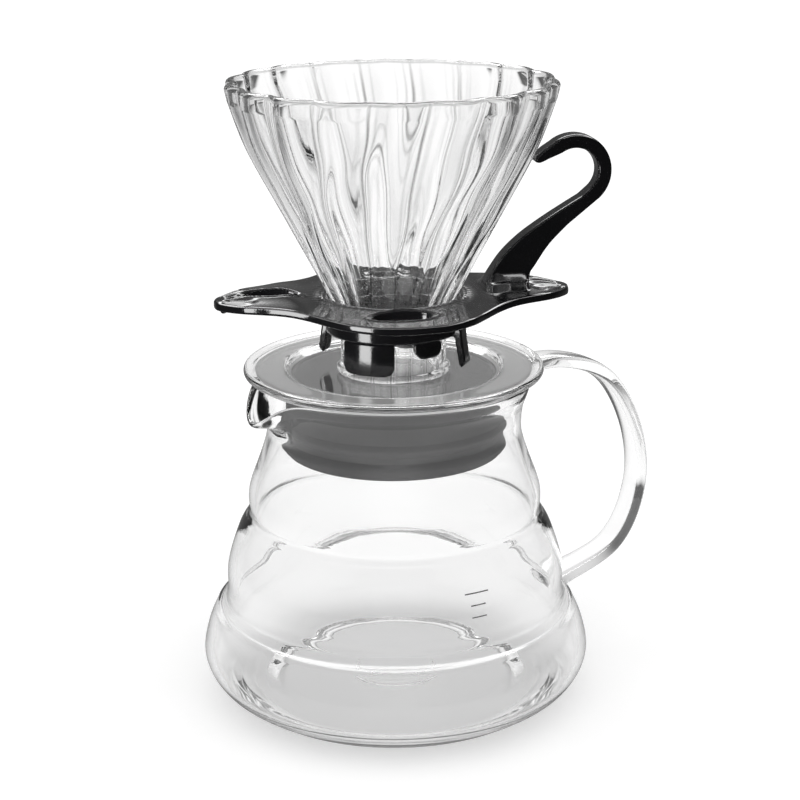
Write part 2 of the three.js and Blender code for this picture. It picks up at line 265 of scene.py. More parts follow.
def merge(name, objects):
    """One object that holds all the meshes, which may overlap."""
    bm = bmesh.new()
    for obj in objects:
        bm.from_mesh(obj.data)
        bpy.data.objects.remove(obj)
    mesh = bpy.data.meshes.new(name)
    bm.to_mesh(mesh)
    bm.free()
    merged = bpy.data.objects.new(name, mesh)
    bpy.context.scene.collection.objects.link(merged)
    return merged


def mould(obj, voxel, passes):
    """Melts overlapping solids into one skin and softens its edges, as a moulding has them."""
    remesh = obj.modifiers.new("skin", "REMESH")
    remesh.mode = "VOXEL"
    remesh.voxel_size = voxel * MM
    soften = obj.modifiers.new("soften", "SMOOTH")
    soften.factor = 0.5
    soften.iterations = passes
    apply_modifiers(obj)
    obj.data.shade_smooth()
    return obj


def fix_normals(obj):
    bm = bmesh.new()
    bm.from_mesh(obj.data)
    bmesh.ops.recalc_face_normals(bm, faces=bm.faces)
    bm.to_mesh(obj.data)
    bm.free()


def tube(name, rings, smooth=True):
    """A closed body through rings of equally many points, with a flat face at each end."""
    verts = [point for ring in rings for point in ring]
    n = len(rings[0])
    faces = [list(range(n)), list(range(len(verts) - n, len(verts)))[::-1]]
    for r in range(len(rings) - 1):
        for i in range(n):
            j = (i + 1) % n
            faces.append([r * n + i, (r + 1) * n + i, (r + 1) * n + j, r * n + j])
    obj = make_object(name, verts, faces, smooth)
    fix_normals(obj)
    return obj


def slab(name, outline, half, edge, axis="y", steps=4):
    """Extrudes a closed counterclockwise outline by half each way, with its long edges rounded."""
    loop = np.array(outline, float)
    ahead, behind = np.roll(loop, -1, 0), np.roll(loop, 1, 0)
    tangent = ahead - behind
    tangent /= np.linalg.norm(tangent, axis=1)[:, None]
    inward = np.stack([-tangent[:, 1], tangent[:, 0]], 1)
    angles = np.linspace(math.pi / 2, 0, steps + 1)
    rings = [(-half + edge * (1 - math.sin(a)), edge * (1 - math.cos(a))) for a in angles]
    rings += [(-d, inset) for d, inset in reversed(rings)]
    layers = []
    for depth, inset in rings:
        edges = loop + inward * inset
        layers.append([(u, depth, v) if axis == "y" else (u, v, depth) for u, v in edges])
    return tube(name, layers)


# ---------------------------------------------------------------- glass cone


CONE_OUTER = [
    (NECK_R, FOOT_Z + 12),
    (NECK_R + 1.9, SEAT_Z - 3.7),
    (20.2, SEAT_Z),
    (33.5, RIM_Z - 40),
    (43.9, RIM_Z - 20),
    (RIM_R - 0.6, RIM_Z - 5),
]

# Painted shade: dark lines painted down each petal, as steps away from the groove and strength.
PAINTED_CREASE_LINES = ((0, 1.0), (3, 0.4), (-4, 0.3), (7, 0.2))
PAINTED_LINE_WIDTH = 0.528


def cone_outline():
    shoulder = RIM_Z - 5
    foot = [(NECK_R - CONE_WALL + 0.4, FOOT_Z), (BEAD_R - 1.2, FOOT_Z)]
    foot += arc(BEAD_R - 1.2, FOOT_Z + 1.2, 1.2, -75, 80, 9)
    foot += spline([(BEAD_R - 0.9, FOOT_Z + 2.5), (NECK_R + 0.1, FOOT_Z + 3.4), (NECK_R, FOOT_Z + 5)], 5)
    outer = spline(CONE_OUTER, 60)
    rim = arc(RIM_R - 1.3, RIM_Z - 1.5, 1.5, -10, 190, 15)
    across = CONE_WALL + 0.25
    inner = spline([
        (RIM_R - 0.6 - CONE_WALL, shoulder),
        (43.9 - across, RIM_Z - 20),
        (33.5 - across, RIM_Z - 40),
        (20.2 - across, SEAT_Z),
        (NECK_R - CONE_WALL + 0.6, SEAT_Z - 6),
        (NECK_R - CONE_WALL, FOOT_Z + 12),
    ], 56)
    return foot + outer + rim + inner


def flute(obj):
    """Presses the petals: sharp grooves outside, soft folds inside, turning and wavering as they go down."""
    p = coords(obj)
    radius = np.hypot(p[:, 0], p[:, 1])
    angle = np.arctan2(p[:, 1], p[:, 0])
    below = RIM_Z - p[:, 2]
    radii, heights = zip(*spline(CONE_OUTER, 40))
    inside = smoothstep(np.interp(p[:, 2], heights, radii) - radius, 0.4, 1.8)
    start = smoothstep(p[:, 2], SEAT_Z - 6, SEAT_Z + 14)
    depth = NECK_FLUTE_DEPTH * smoothstep(p[:, 2], FOOT_Z + 3, FOOT_Z + 8)
    depth += (FLUTE_DEPTH - NECK_FLUTE_DEPTH) * start
    wave = np.cos(angle * FLUTES / 2) ** 2
    sharp = 1 - np.sqrt(wave + 0.001)
    soft = 1 - wave ** 0.8
    radius -= depth * np.clip(sharp * (1 - inside) + 0.85 * soft * inside, 0, 1)
    waver = start * smoothstep(below, 4, 20) * math.radians(1.0)
    turned = angle + FLUTE_PHASE - SWIRL_PER_MM * below
    turned += waver * np.sin(below / 7.5 + 5 * angle) + 0.5 * waver * np.sin(below / 4.1 + 11 * angle)
    p[:, 0], p[:, 1] = radius * np.cos(turned), radius * np.sin(turned)
    set_coords(obj, p)
    paint_crease_shade(obj, angle, below)


def paint_crease_shade(obj, angle, below):
    """Stores painted shade for the glass to read: painted dark lines down the petals, a painted dark line
    round the rim and painted shade on one side of each petal.
    """
    fade = 0.4 + 0.6 * smoothstep(below, 0.5, 12)
    from_groove = (np.mod(angle * FLUTES / TAU, 1) - 0.5) * STEPS_PER_FLUTE
    lines = sum(strength * np.exp(-((from_groove - step) / PAINTED_LINE_WIDTH) ** 2) for step, strength in PAINTED_CREASE_LINES)
    rim = 0.7 * (1 - smoothstep(below, 1, 1.5))
    store(obj, "crease", np.clip(np.maximum(fade * lines, rim), 0, 1))
    store(obj, "painted_petal_shade", fade * np.clip(np.sin(angle * FLUTES), 0, 1) ** 0.7)


def make_cone():
    cone = revolve("cone_glass", cone_outline(), FLUTES * STEPS_PER_FLUTE)
    flute(cone)
    return place(cone, "cone", "cone_glass", "glass_cone", turned=True)


# ---------------------------------------------------------------- holder


def plate_outline():
    """The plate's edge: two wings and two round lobes, counterclockwise."""
    quarter = spline([
        (WING_REACH, 0),
        (WING_REACH - 1.2, 4.4),
        (47, 11.6),
        (38, 15.9),
        (29.5, 21.6),
        (23.5, 27.6),
        (18, 33.6),
        (10, LOBE_R - 1.6),
        (0, LOBE_R),
    ], 60)
    top = quarter + [(-x, y) for x, y in reversed(quarter[:-1])]
    return top + [(x, -y) for x, y in reversed(top[1:-1])]


def ellipse(x, y, along, across):
    angles = np.linspace(0, TAU, 48, endpoint=False)
    return [(x + along * math.cos(a), y + across * math.sin(a)) for a in angles]


def make_plate():
    middle = (PLATE_TOP + PLATE_BOTTOM) / 2
    plate = shift(slab("plate", plate_outline(), PLATE_THICKNESS / 2, 0.6, axis="z"), z=middle)
    low, high = PLATE_BOTTOM - 2, PLATE_TOP + 2
    hole = revolve("hole", [(0, low), (COLLAR_R + 1, low), (COLLAR_R + 1, high), (0, high)], 96)
    boolean(plate, hole, "DIFFERENCE")
    for slot in SLOTS:
        tool = shift(slab("slot", ellipse(*slot), 4, 0.1, axis="z", steps=1), z=middle)
        boolean(plate, tool, "DIFFERENCE")
    return plate


def wing_lift(x):
    """The wings rise from the hub and dip again at their tips."""
    return WING_RISE * smoothstep(np.abs(x), 20, 36) - TIP_DIP * smoothstep(np.abs(x), 44, WING_REACH)


def raise_wings(obj):
    p = coords(obj)
    p[:, 2] += wing_lift(p[:, 0]) * (1 - smoothstep(p[:, 2], PLATE_TOP + 1, PLATE_TOP + 9))
    set_coords(obj, p)


def make_hub():
    return revolve("hub", [
        (COLLAR_R - COLLAR_WALL, COLLAR_BOTTOM),
        (COLLAR_R, COLLAR_BOTTOM),
        (COLLAR_R, PLATE_BOTTOM + 0.6),
        (COLLAR_R + 1.6, PLATE_BOTTOM + 0.6),
        (COLLAR_R + 1.6, PLATE_TOP),
        (22.3, SEAT_Z - 0.35),
        (20.55, SEAT_Z - 0.35),
        (18.7, SEAT_Z - 3.8),
        (RING_INNER, SEAT_Z - 5),
        (RING_INNER, RING_TOP + 0.4),
        (COLLAR_R - COLLAR_WALL, RING_TOP + 0.4),
    ], ROUND)


def leg(angle):
    top = PLATE_BOTTOM + 1
    outline = [
        (COLLAR_R - 0.5, top),
        (COLLAR_R - 0.5, COLLAR_BOTTOM + 1.2),
        (COLLAR_R + 0.3, COLLAR_BOTTOM - 0.4),
        (COLLAR_R + 1.7, TAB_BOTTOM + 1.6),
        (COLLAR_R + 2.5, TAB_BOTTOM + 0.2),
        (COLLAR_R + 4, TAB_BOTTOM + 1.8),
        (COLLAR_R + 2.7, COLLAR_BOTTOM),
        (COLLAR_R + 2.2, top),
    ]
    return turn(slab("leg", outline, 2.3, 0.3), angle)


def hook_outline():
    """Side view of the handle: root, outer edge, hook, tip, and back down the inner edge."""
    up = PLATE_TOP
    root = [(28.2, up - 0.6), (40.5, up - 0.6)]
    outer = spline([(40.5, up + 1), (43, up + 6), (48.2, up + 14), (54.2, up + 20.2)], 20)
    over = arc(HOOK_X, HOOK_Z, HOOK_R, -47, 129, 40)
    tip = spline([
        (46.6, HOOK_Z + 7.4),
        (44.1, HOOK_Z + 5.2),
        (43.6, HOOK_Z + 3.6),
        (45.2, HOOK_Z + 3),
        (48, HOOK_Z + 4.2),
    ], 14)
    under = arc(HOOK_X, HOOK_Z, HOOK_R - HOOK_DEPTH, 126, -52, 36)
    inner = spline([
        (58.4, up + 28.9),
        (53.4, up + 26),
        (46.2, up + 21.6),
        (39.1, up + 16.6),
        (33.2, up + 10.8),
        (29.3, up + 4.5),
        (28.2, up + 1),
    ], 30)
    return root + outer + over + tip + under + inner


def rounded_box(angle, half_u, half_v, powers):
    """A point on the outline of a box with rounded corners, which the lower powers make squarer."""
    c, s = math.cos(angle), math.sin(angle)
    u = half_u * math.copysign(abs(c) ** powers[0], c)
    v = half_v * math.copysign(abs(s) ** powers[1], s)
    return u, v


def handle_foot():
    """The root of the handle: from the bar's thickness it flares sideways into the wing."""
    rings = []
    for t in np.linspace(0, 1, 25):
        near, far = 28.2 + 4.2 * t**1.3, 40.4 + 4.0 * t
        half_x = (far - near) / 2 + 1.2 * (1 - t) ** 3
        half_y = 3.3 + 11.5 * (1 - t) ** 2.6
        edge = [rounded_box(TAU * k / 40, half_x, half_y, (0.4, 0.6)) for k in range(40)]
        rings.append([((near + far) / 2 + x, y, PLATE_TOP - 1.5 + 11 * t) for x, y in edge])
    return tube("foot", rings)


def nub(side):
    """A small peg under the tip of a wing."""
    low, high = PLATE_BOTTOM - 1.8, PLATE_BOTTOM + 1
    peg = revolve("nub", [(0, low), (0.7, low + 0.1), (1.1, low + 0.6), (1.35, high), (0, high)], 24)
    return shift(peg, x=side * (WING_REACH - 3))


def wing_roof(x, y):
    """Each wing is highest along its middle, and flattens towards its tip."""
    half_width = np.interp(np.abs(x), *WING_EDGE)
    roof = 1.1 * smoothstep(np.abs(x), 24, 34) * (1 - smoothstep(np.abs(y) / half_width, 0.25, 1.05))
    return roof * (1 - 0.7 * smoothstep(np.abs(x), 46, WING_REACH))


def slot_lip(x, y, slot):
    """A low bead round a slot."""
    cx, cy, along, across = slot
    off = np.sqrt(((x - cx) / along) ** 2 + ((y - cy) / across) ** 2)
    return 0.4 * np.exp(-((off - 1.2) / 0.11) ** 2)


def tip_grooves(x, y, side):
    """Grooves that fan out from the tip of a wing."""
    dx = WING_REACH + 1.5 - side * x
    along = np.hypot(dx, y)
    fan = np.arctan2(y, dx)
    band = smoothstep(along, 4, 7) * (1 - smoothstep(along, 12, 17))
    grooves = 0.5 - 0.5 * np.cos(fan * TAU / math.radians(19))
    return 0.6 * grooves * band * (np.abs(fan) < math.radians(47))


def seat_relief(x, y):
    """A soft rise towards the seat, with fine ribs round it."""
    radius = np.hypot(x, y)
    rise = 0.5 * (1 - smoothstep(radius, 22.5, 31)) * (1 - smoothstep(np.abs(x), 24, 34))
    ring = smoothstep(radius, 20.8, 21.8) * (1 - smoothstep(radius, 23.5, 27))
    return rise + 0.07 * ring * np.cos(66 * np.arctan2(y, x))


def model_plate_top(obj):
    """Shapes the plate's upper face."""
    p = coords(obj)
    x, y = p[:, 0], p[:, 1]
    z = p[:, 2] - wing_lift(x)
    on_top = smoothstep(z, PLATE_TOP - 1.0, PLATE_TOP - 0.1)
    on_top *= 1 - smoothstep(z, PLATE_TOP + 1.5, PLATE_TOP + 3)
    lift = wing_roof(x, y) + seat_relief(x, y)
    lift += sum(slot_lip(x, y, slot) for slot in SLOTS)
    lift -= tip_grooves(x, y, -1) + tip_grooves(x, y, 1)
    p[:, 2] += lift * on_top
    set_coords(obj, p)


def make_holder():
    handle = slab("handle", hook_outline(), HANDLE_THICKNESS / 2, 1.1)
    legs = [leg(LEG_ANGLE), leg(LEG_ANGLE + math.pi)]
    nubs = [nub(1), nub(-1)]
    holder = merge("holder_moulding", [make_plate(), make_hub(), handle, handle_foot(), *legs, *nubs])
    mould(holder, voxel=0.32, passes=5)
    raise_wings(holder)
    model_plate_top(holder)
    return place(holder, "dripper", "black_plastic", "holder", turned=True)


# ---------------------------------------------------------------- lock ring


def tab(centre, span, bottom):
    """A tab of the ring, as a bent plate with rounded lower corners; centre and span are in degrees."""
    top = COLLAR_BOTTOM - RUNNING_GAP
    corner = 3.2
    half = math.radians(span / 2) * COLLAR_R
    rows, columns = 28, 28
    verts, index = [], {}
    for layer in range(2):
        for r in range(rows + 1):
            z = bottom + (top - bottom) * (r / rows) ** 1.4
            radius = COLLAR_R - 0.2 - TAB_DRAFT * (z - bottom) if layer else RING_INNER
            dip = max(corner - (z - bottom), 0)
            width = half - corner + math.sqrt(corner**2 - dip**2)
            for c in range(columns + 1):
                a = math.radians(centre) + width * (2 * c / columns - 1) / COLLAR_R
                index[layer, r, c] = len(verts)
                verts.append((radius * math.cos(a), radius * math.sin(a), z))
    faces = []
    for r in range(rows):
        for c in range(columns):
            inner = [index[0, r, c], index[0, r + 1, c], index[0, r + 1, c + 1], index[0, r, c + 1]]
            outer = [index[1, r, c], index[1, r, c + 1], index[1, r + 1, c + 1], index[1, r + 1, c]]
            faces += [inner, outer]
        for c in (0, columns):
            faces.append([index[0, r, c], index[1, r, c], index[1, r + 1, c], index[0, r + 1, c]])
    for r in (0, rows):
        for c in range(columns):
            faces.append([index[0, r, c], index[0, r, c + 1], index[1, r, c + 1], index[1, r, c]])
    obj = make_object("tab", verts, faces)
    fix_normals(obj)
    return obj


def make_lock_ring():
    low = COLLAR_BOTTOM - 0.2
    section = [(RING_INNER, low), (BAND_R, low), (BAND_R, RING_TOP), (RING_INNER, RING_TOP)]
    parts = [revolve("band", section, ROUND)]
    for half_turn in (0, 180):
        parts.append(tab(-122.9 + half_turn, span=49, bottom=TAB_BOTTOM))
        parts.append(tab(-67.4 + half_turn, span=27, bottom=TAB_BOTTOM + 5))
    ring = mould(merge("twist_ring", parts), voxel=0.26, passes=3)
    return place(ring, "ring", "black_plastic", "lock_ring", turned=True)


# ---------------------------------------------------------------- lid


def make_lid_disc():
    edge = LID_R - 1.35
    low = LID_FLOOR - LID_THICKNESS
    outline = [(0, low), (RECESS_R - 0.8, low), (RECESS_R - 0.4, low)]
    under_step = [(RECESS_R, low + 0.1), (STEP_R - 0.3, LID_UNDER - 1.2), (STEP_R + 0.4, LID_UNDER + 0.05)]
    outline += spline(under_step, 10)
    outline += [(LID_R - 3, LID_UNDER + 0.13), (LID_R - 2.4, LID_UNDER + 0.15)]
    outline += arc(edge, LID_UNDER + 1.4, 1.3, -75, 100, 14)
    outline += spline([
        (LID_R - 3, LID_UNDER + 2.35),
        (LID_R - 5, LID_UNDER + 2),
        (STEP_R + 1.2, LID_UNDER + 1.65),
        (STEP_R - 0.4, LID_UNDER + 1.1),
        (RECESS_R, LID_FLOOR + 0.05),
        (RECESS_R - 1, LID_FLOOR),
    ], 26)
    outline += [(RECESS_R - 1.6, LID_FLOOR), (0, LID_FLOOR)]
    disc = revolve("lid_disc", outline, ROUND)
    return place(disc, "lid", "lid_glass", "lid_glass")


def make_gasket():
    low = GASKET_BOTTOM
    under = MOUTH_Z + 0.05
    outline = [(0, low)] + arc(SKIRT_R - 2.6, low + 2.4, 2.4, -90, -20, 8)
    for start, out, back, end in ((1.8, 3.4, 4.4, 6), (7.8, 9.3, 10.3, 11.9)):
        fin = [(SKIRT_R, low + start), (FIN_R, low + out), (FIN_R, low + back), (SKIRT_R, low + end)]
        outline += spline(fin, 14)
    outline += [(SKIRT_R, under - 2.4)] + arc(SKIRT_R + 2.2, under - 2.2, 2.2, 180, 95, 7)
    outline += arc(FLANGE_R - 0.55, under + 0.6, 0.55, -90, 90, 9)
    outline += [(STEP_R + 1.1, FLANGE_TOP)] + arc(STEP_R + 1.1, FLANGE_TOP - 0.7, 0.7, 90, 180, 6)
    outline += arc(CAVITY_R - 0.3, LID_FLOOR - LID_THICKNESS - 0.9, 0.5, 80, 180, 6)
    outline += [(CAVITY_R, low + 4)] + arc(CAVITY_R - 2.2, low + 4, 2.2, -15, -90, 8)
    outline += [(0, low + 1.8)]
    gasket = revolve("gasket_cup", outline, ROUND)
    return place(gasket, "lid", "silicone", "lid_gasket")


# ---------------------------------------------------------------- server


def server_outer():
    """The outside, from the middle of the base up to the mouth."""
    base = [(0, 2.2), (11.4, 2.2)] + spline([(12, 2.3), (13, 2.9), (14.4, 2.9)], 5)
    base += [(15, 2.89), (35.2, 2.42), (36, 2.4)]
    foot = spline([(38.4, 1.7), (40.5, 0.7), (42.5, 0)], 6) + [(45.5, 0)]
    low_tier = spline([(50.5, 2), (58, 7.4), (61.6, 14.5), (60.4, 22.5), (57.6, 29.3)], 34)
    notch = spline([(56.7, 30.2), (55.4, 31.2), (54.4, 32.4)], 6)
    mid_tier = spline([(54, 33.4), (53.6, 36.6), (53.2, 44.5), (49.8, 55.2), (47.2, 59.8)], 30)
    crease = spline([(46.5, 60.6), (46, 61.3)], 3)
    top_tier = spline([(45.9, 62.2), (45.9, 69), (42.2, 79.5), (NECK_OUTER + 0.1, 87), (NECK_OUTER, 93)], 30)
    mouth = spline([(40.4, 96.5), (42, 101), (42.5, MOUTH_Z - 1.8)], 9)
    return base + foot + low_tier + notch + mid_tier + crease + top_tier + mouth


def server_inner():
    """The inside, from the mouth down to the middle of the floor."""
    mouth = arc(41.5, MOUTH_Z - 1.1, 1.05, 0, 180, 11)
    mouth += spline([(40.2, MOUTH_Z - 3), (38.6, 98.5), (37.9, 95)], 8)
    neck = spline([
        (NECK_OUTER - SERVER_WALL, 93),
        (NECK_OUTER - SERVER_WALL, 87),
        (40.2, 79),
        (43.7, 68.6),
        (43.8, 62),
    ], 26)
    mid_tier = spline([(45.2, 59.6), (47.7, 54.6), (51, 44.2), (51.4, 36.8), (51.8, 33.6), (52.6, 31.4)], 30)
    low_tier = spline([(54, 29.6), (55.5, 28.3), (58.2, 22), (59.3, 14.5), (56.2, 8.8), (48, 5.6)], 34)
    return mouth + neck + mid_tier + low_tier + [(47, 5.61), (30, 5.8), (0, 5.8)]


def pour_lip(obj):
    """Draws the mouth outwards and down into a pouring lip on the -X side."""
    p = coords(obj)
    radius = np.hypot(p[:, 0], p[:, 1])
    off = np.arctan2(p[:, 1], -p[:, 0]) / math.radians(17)
    amount = np.exp(-off * off) * smoothstep(p[:, 2], 88, MOUTH_Z) * smoothstep(radius, 30, 36)
    grow = 1 + 6.6 * amount / np.maximum(radius, 1)
    p[:, 0] *= grow
    p[:, 1] *= grow
    p[:, 2] -= 8 * amount * amount
    set_coords(obj, p)


def make_strap():
    """The glass strap, along a curve in the XZ plane, thicker and wider where it runs into the wall."""
    path = spline(STRAP_PATH, 90)
    last = len(path) - 1
    rings = []
    for i, (x, z) in enumerate(path):
        ahead, behind = path[min(i + 1, last)], path[max(i - 1, 0)]
        tx, tz = ahead[0] - behind[0], ahead[1] - behind[1]
        length = math.hypot(tx, tz)
        t = i / last
        flare = 1 + 0.5 * math.exp(-t / 0.06) + 0.6 * math.exp((t - 1) / 0.06)
        half_y, half_depth = 5.0 * flare, 2.3 * (0.6 + 0.4 * flare)
        section = [rounded_box(TAU * k / 32, half_y, half_depth, (0.55, 0.75)) for k in range(32)]
        rings.append([(x - tz / length * out, y, z + tx / length * out) for y, out in section])
    strap = tube("strap", rings)
    wall = [(x - 1.1, z) for x, z in server_outer() if x > 40]
    core = revolve("core", wall + [(0, MOUTH_Z), (0, 0)], 96)
    return boolean(strap, core, "DIFFERENCE")


def make_server():
    server = revolve("server_glass", server_outer() + server_inner(), 200)
    pour_lip(server)
    boolean(server, make_strap(), "UNION")
    server.data.shade_smooth()
    return place(server, "server", "server_glass", "server_body", "server_handle")


def level_tick(z, length, steps=16):
    """A slender bar that follows the server's side at one height, a hair off the glass."""
    radii, heights = zip(*[row for row in server_outer() if row[0] > 44 and row[1] > 31])
    low, high = z - TICK_WIDTH / 2, z + TICK_WIDTH / 2
    at_low, at_high = np.interp([low, high], heights, radii)
    near, far = 0.02, 0.12
    section = ((at_low + near, low), (at_low + far, low), (at_high + far, high), (at_high + near, high))
    rings = []
    for k in range(steps + 1):
        a = -math.pi / 2 + length / at_low * (k / steps - 0.5)
        rings.append([(radius * math.cos(a), radius * math.sin(a), height) for radius, height in section])
    return tube("tick", rings, smooth=False)


def make_level_ticks():
    """Three plain level marks printed on the server's side."""
    ticks = merge("level_marks", [level_tick(z, length) for z, length in TICK_LENGTHS.items()])
    return place(ticks, "server", "server_glass")


# ---------------------------------------------------------------- material helpers


class Nodes:
    """A short way to write node trees: sockets go in and out as values, numbers or tuples."""

    def __init__(self, owner):
        owner.use_nodes = True
        self.tree = owner.node_tree
        self.tree.nodes.clear()

    def add(self, kind, out=0, **inputs):
        """Adds a node, sets or links its inputs (spaces as _), and gives back one of its outputs."""
        node = self.tree.nodes.new("ShaderNode" + kind)
        settings = inputs.pop("settings", {})
        for key, value in settings.items():
            setattr(node, key, value)
        for key, value in inputs.items():
            name = key.replace("_", " ")
            socket = node.inputs[int(name[1:])] if re.fullmatch(r"i\d+", name) else node.inputs[name]
            if isinstance(value, bpy.types.NodeSocket):
                self.tree.links.new(value, socket)
            else:
                socket.default_value = value
        return node.outputs[out] if out is not None else node

    def math(self, operation, a, b=0.0):
        return self.add("Math", settings={"operation": operation}, i0=a, i1=b)

    def span(self, value, low, high, to_low=0.0, to_high=1.0, smooth=True):
        """Maps low..high onto to_low..to_high, held at its ends."""
        kind = "SMOOTHSTEP" if smooth else "LINEAR"
        return self.add("MapRange", settings={"interpolation_type": kind}, Value=value,
                        From_Min=low, From_Max=high, To_Min=to_low, To_Max=to_high)

    def grey(self, level):
        return self.add("CombineXYZ", X=level, Y=level, Z=level)

    def blend(self, factor, low, high):
        """Mixes two colours, each given as an RGBA tuple or a socket."""
        return self.add("Mix", out=2, settings={"data_type": "RGBA"}, Factor=factor, i6=low, i7=high)

    def put_out(self, surface):
        self.add("OutputMaterial", out=None, Surface=surface)

    def noise(self, scale, detail=3.0):
        point = self.add("TexCoord", out="Object")
        return self.add("TexNoise", out="Fac", Vector=point, Scale=scale, Detail=detail)

    def bump(self, height, distance, strength=1.0):
        return self.add("Bump", Height=height, Distance=distance, Strength=strength)

    def path(self, name):
        return self.add("LightPath", out=name)


# ---------------------------------------------------------------- the studio, as rays from the object see it


def camera_direction(nodes, world_direction):
    """Splits a direction into how far it goes right, up and away as the camera sees it."""
    turned = nodes.add("VectorTransform", Vector=world_direction,
                       settings={"vector_type": "VECTOR", "convert_from": "WORLD", "convert_to": "CAMERA"})
    split = nodes.add("SeparateXYZ", out=None, Vector=turned)
    return split.outputs["X"], split.outputs["Y"], split.outputs["Z"]


def bright_field(nodes, right, up, away):
    """What glass bends into view: white, but dark out at the sides, which draws its edges."""
    sideways = nodes.span(nodes.math("ABSOLUTE", right), 0.1, 0.65, 1.0, 0.16)
    upward = nodes.span(nodes.math("ABSOLUTE", up), 0.35, 0.85, 1.0, 0.86)
    onward = nodes.span(away, -0.6, 0.1, 0.85, 1.0)
    return nodes.math("MULTIPLY", nodes.math("MULTIPLY", sideways, upward), onward)


def flagged(nodes):
    """The floor as glass bends it into view: white, but dark past flags at the sides."""
    point = nodes.add("SeparateXYZ", out=None, Vector=nodes.add("TexCoord", out="Camera"))
    across = nodes.math("ABSOLUTE", point.outputs["X"])
    distance = nodes.math("ABSOLUTE", point.outputs["Z"])
    beyond = nodes.math("SUBTRACT", across, nodes.math("MULTIPLY", distance, 0.13))
    return nodes.span(beyond, 0.0, 0.3, 1.0, 0.1)


def reflections(nodes, up, away):
    """What surfaces mirror: a dim room, a little lighter behind the object, with a narrow lamp overhead."""
    behind = nodes.span(away, 0.2, 0.9, 0.02, 0.2)
    ceiling = nodes.span(up, 0.6, 0.75, 0.0, 0.8)
    lamp = nodes.math("MULTIPLY", nodes.span(up, 0.74, 0.77), nodes.span(up, 0.86, 0.9, 8.0, 0.0))
    return nodes.math("ADD", nodes.math("ADD", behind, ceiling), lamp)


def mirrored(nodes):
    """1 for a ray that a surface has mirrored, 0 for any other."""
    return nodes.math("MULTIPLY", nodes.path("Is Reflection Ray"), nodes.path("Is Glossy Ray"))


DEEP_BENDS = 4


def deep(nodes):
    """1 for a ray bent or mirrored more than DEEP_BENDS times; it misses dark parts, so glass stays light."""
    return nodes.math("GREATER_THAN", nodes.path("Ray Depth"), DEEP_BENDS + 0.5)


def make_world():
    world = bpy.data.worlds.new("studio")
    bpy.context.scene.world = world
    world.cycles.sampling_method = "NONE"
    nodes = Nodes(world)
    heading = nodes.add("TexCoord", out="Generated")
    right, up, away = camera_direction(nodes, heading)
    height = nodes.add("SeparateXYZ", out=None, Vector=heading).outputs["Z"]
    soft = nodes.span(height, 0.0, 1.0, 0.5, 1.1, smooth=False)
    direct = nodes.add("Mix", Factor=nodes.path("Is Diffuse Ray"), A=1.0, B=soft)
    deep_light = nodes.math("MULTIPLY", deep(nodes), 0.85)
    field = nodes.math("MAXIMUM", bright_field(nodes, right, up, away), deep_light)
    seen = nodes.add("Mix", Factor=nodes.path("Is Transmission Ray"), A=direct, B=field)
    seen = nodes.add("Mix", Factor=mirrored(nodes), A=seen, B=reflections(nodes, up, away))
    back = nodes.add("Background", Color=(1, 1, 1, 1), Strength=seen)
    nodes.add("OutputWorld", out=None, Surface=back)


def floor_material():
    """White paper with a faint grain and a low glow; mirrored rays see the dim room in its place."""
    material = bpy.data.materials.new("floor_white")
    nodes = Nodes(material)
    back = nodes.add("NewGeometry", out="Incoming")
    heading = nodes.add("VectorMath", settings={"operation": "SCALE"}, i0=back, Scale=-1.0)
    right, up, away = camera_direction(nodes, heading)
    shade = nodes.add("Mix", Factor=nodes.path("Is Transmission Ray"), A=1.0, B=flagged(nodes))
    grain = nodes.span(nodes.noise(25), 0.0, 1.0, 0.78, 0.82)
    paper = nodes.add("BsdfDiffuse", Color=nodes.grey(nodes.math("MULTIPLY", shade, grain)), Roughness=0.5)
    glow = nodes.add("Emission", Strength=nodes.math("MULTIPLY", shade, 0.42))
    matt = nodes.add("AddShader", i0=paper, i1=glow)
    mirror = nodes.add("Emission", Strength=reflections(nodes, up, away))
    nodes.put_out(nodes.add("MixShader", Fac=mirrored(nodes), i1=matt, i2=mirror))
    return material


def make_floor(size=8000):
    corners = [(-size, -size, 0), (size, -size, 0), (size, size, 0), (-size, size, 0)]
    floor = make_object("floor", corners, [[0, 1, 2, 3]])
    floor.data.materials.append(floor_material())


# ---------------------------------------------------------------- materials of the object


CLEAREST = 0.985                         # what the clearest glass lets through


